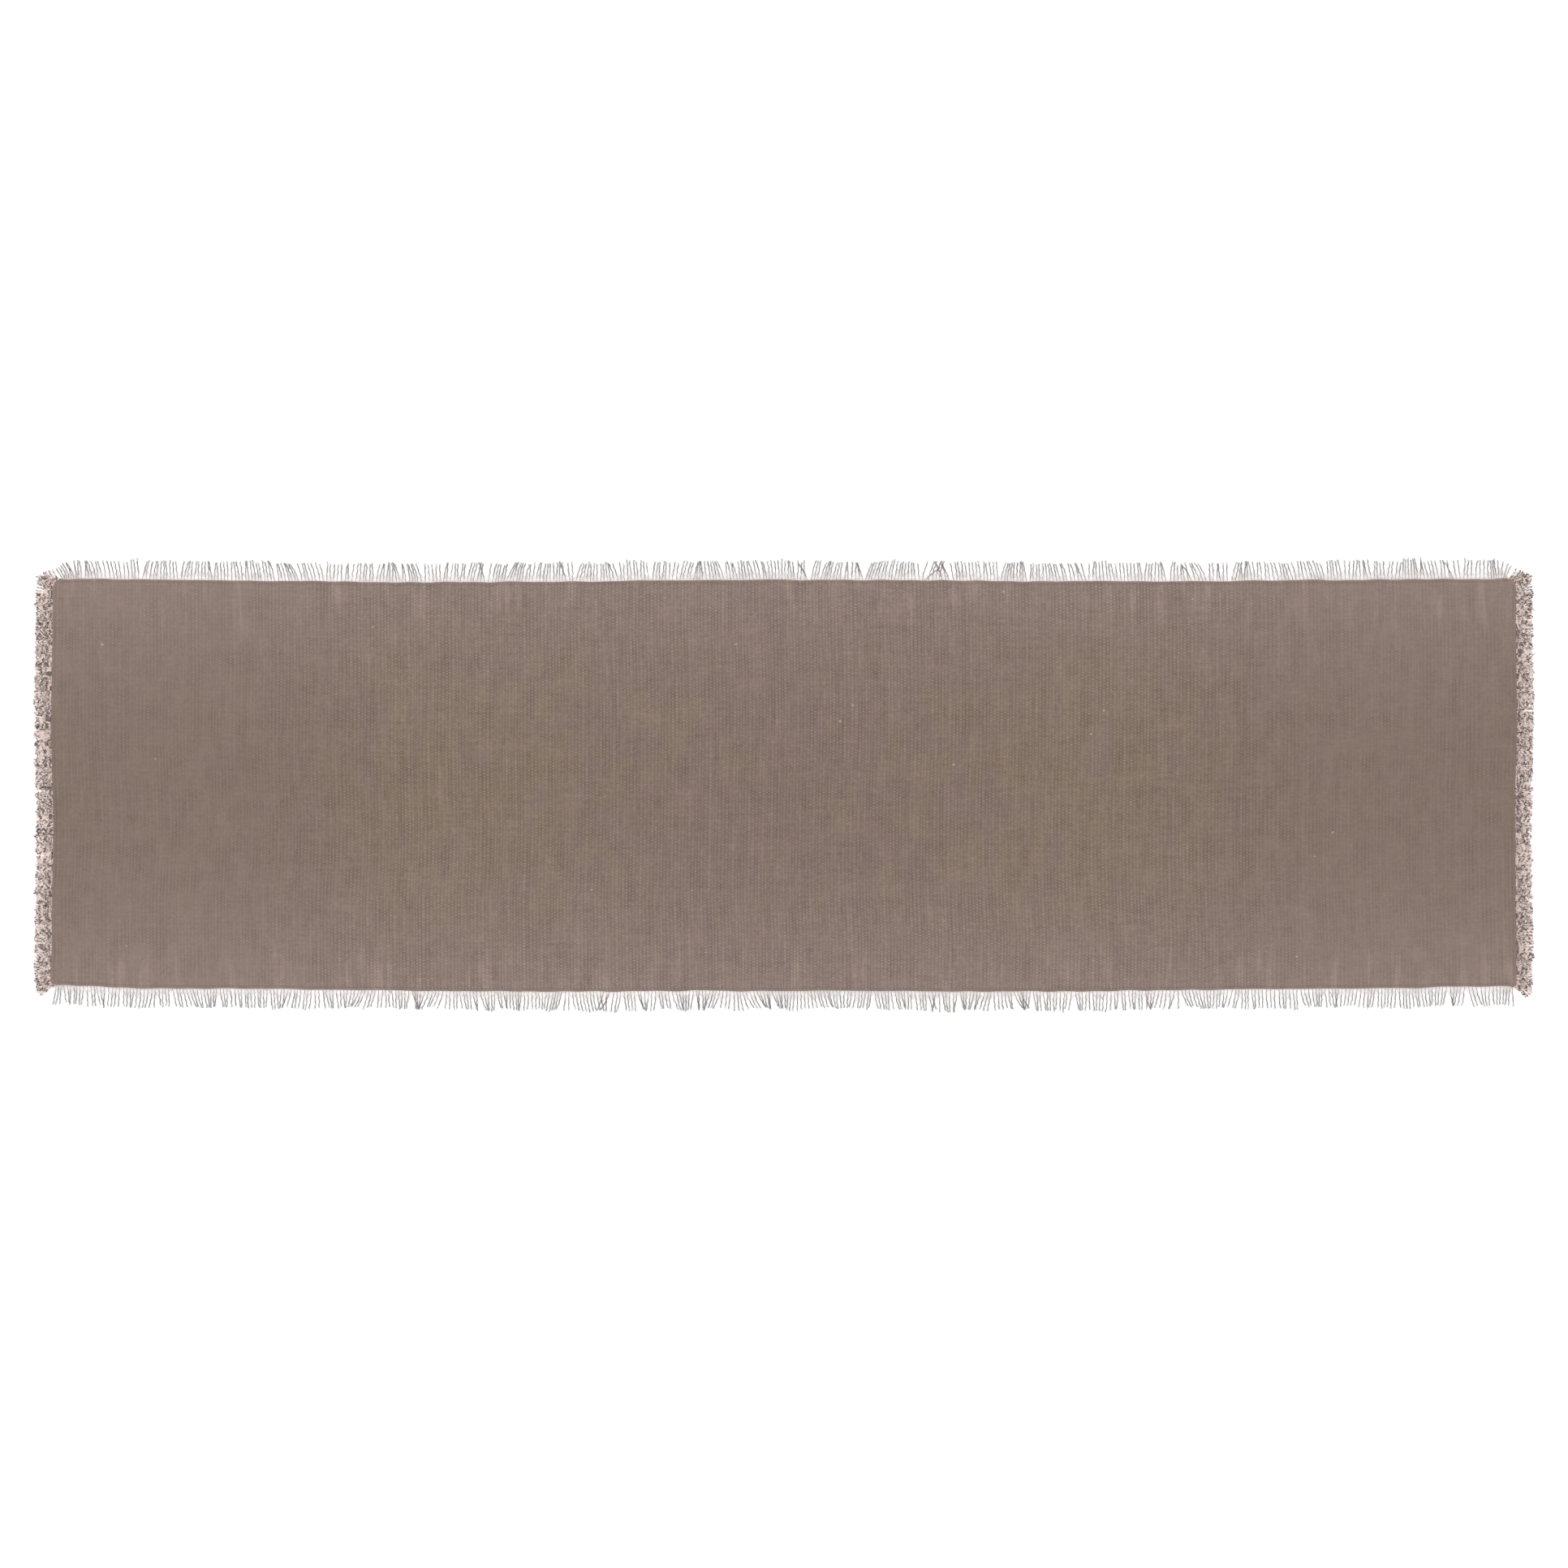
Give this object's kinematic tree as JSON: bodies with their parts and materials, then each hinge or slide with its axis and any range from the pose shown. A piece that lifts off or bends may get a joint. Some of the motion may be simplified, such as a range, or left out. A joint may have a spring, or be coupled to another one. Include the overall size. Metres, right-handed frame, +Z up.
{
  "type": "table runner",
  "caption": "Long flat table runner in plain taupe weave with fine cross ribs, frayed to a short fringe on all four sides.",
  "frame": {"origin": "middle of the runner's footprint, in the plane that the underside lies on", "axes": "+X along the runner, +Y across it, +Z up out of the top face"},
  "size_m": [1.2192, 0.3635, 0.0016],
  "materials": {
    "cloth": "matt plain weave with fine cross ribs",
    "warp_yarn": "matt crinkled yarn ends",
    "weft_yarn": "matt straight yarn ends",
    "thread": "satin sewing thread"
  },
  "bodies": {
    "root": {"ground_cloth": "cloth", "weft_fringe_back": "weft_yarn", "warp_fringe_left": "warp_yarn", "weft_fringe_front": "weft_yarn", "warp_fringe_right": "warp_yarn", "stay_stitch_needle_thread_back": "thread", "stay_stitch_bobbin_thread_back": "thread", "stay_stitch_needle_thread_left": "thread", "stay_stitch_bobbin_thread_left": "thread", "stay_stitch_needle_thread_front": "thread", "stay_stitch_bobbin_thread_front": "thread", "stay_stitch_needle_thread_right": "thread", "stay_stitch_bobbin_thread_right": "thread"}
  },
  "joints": []
}
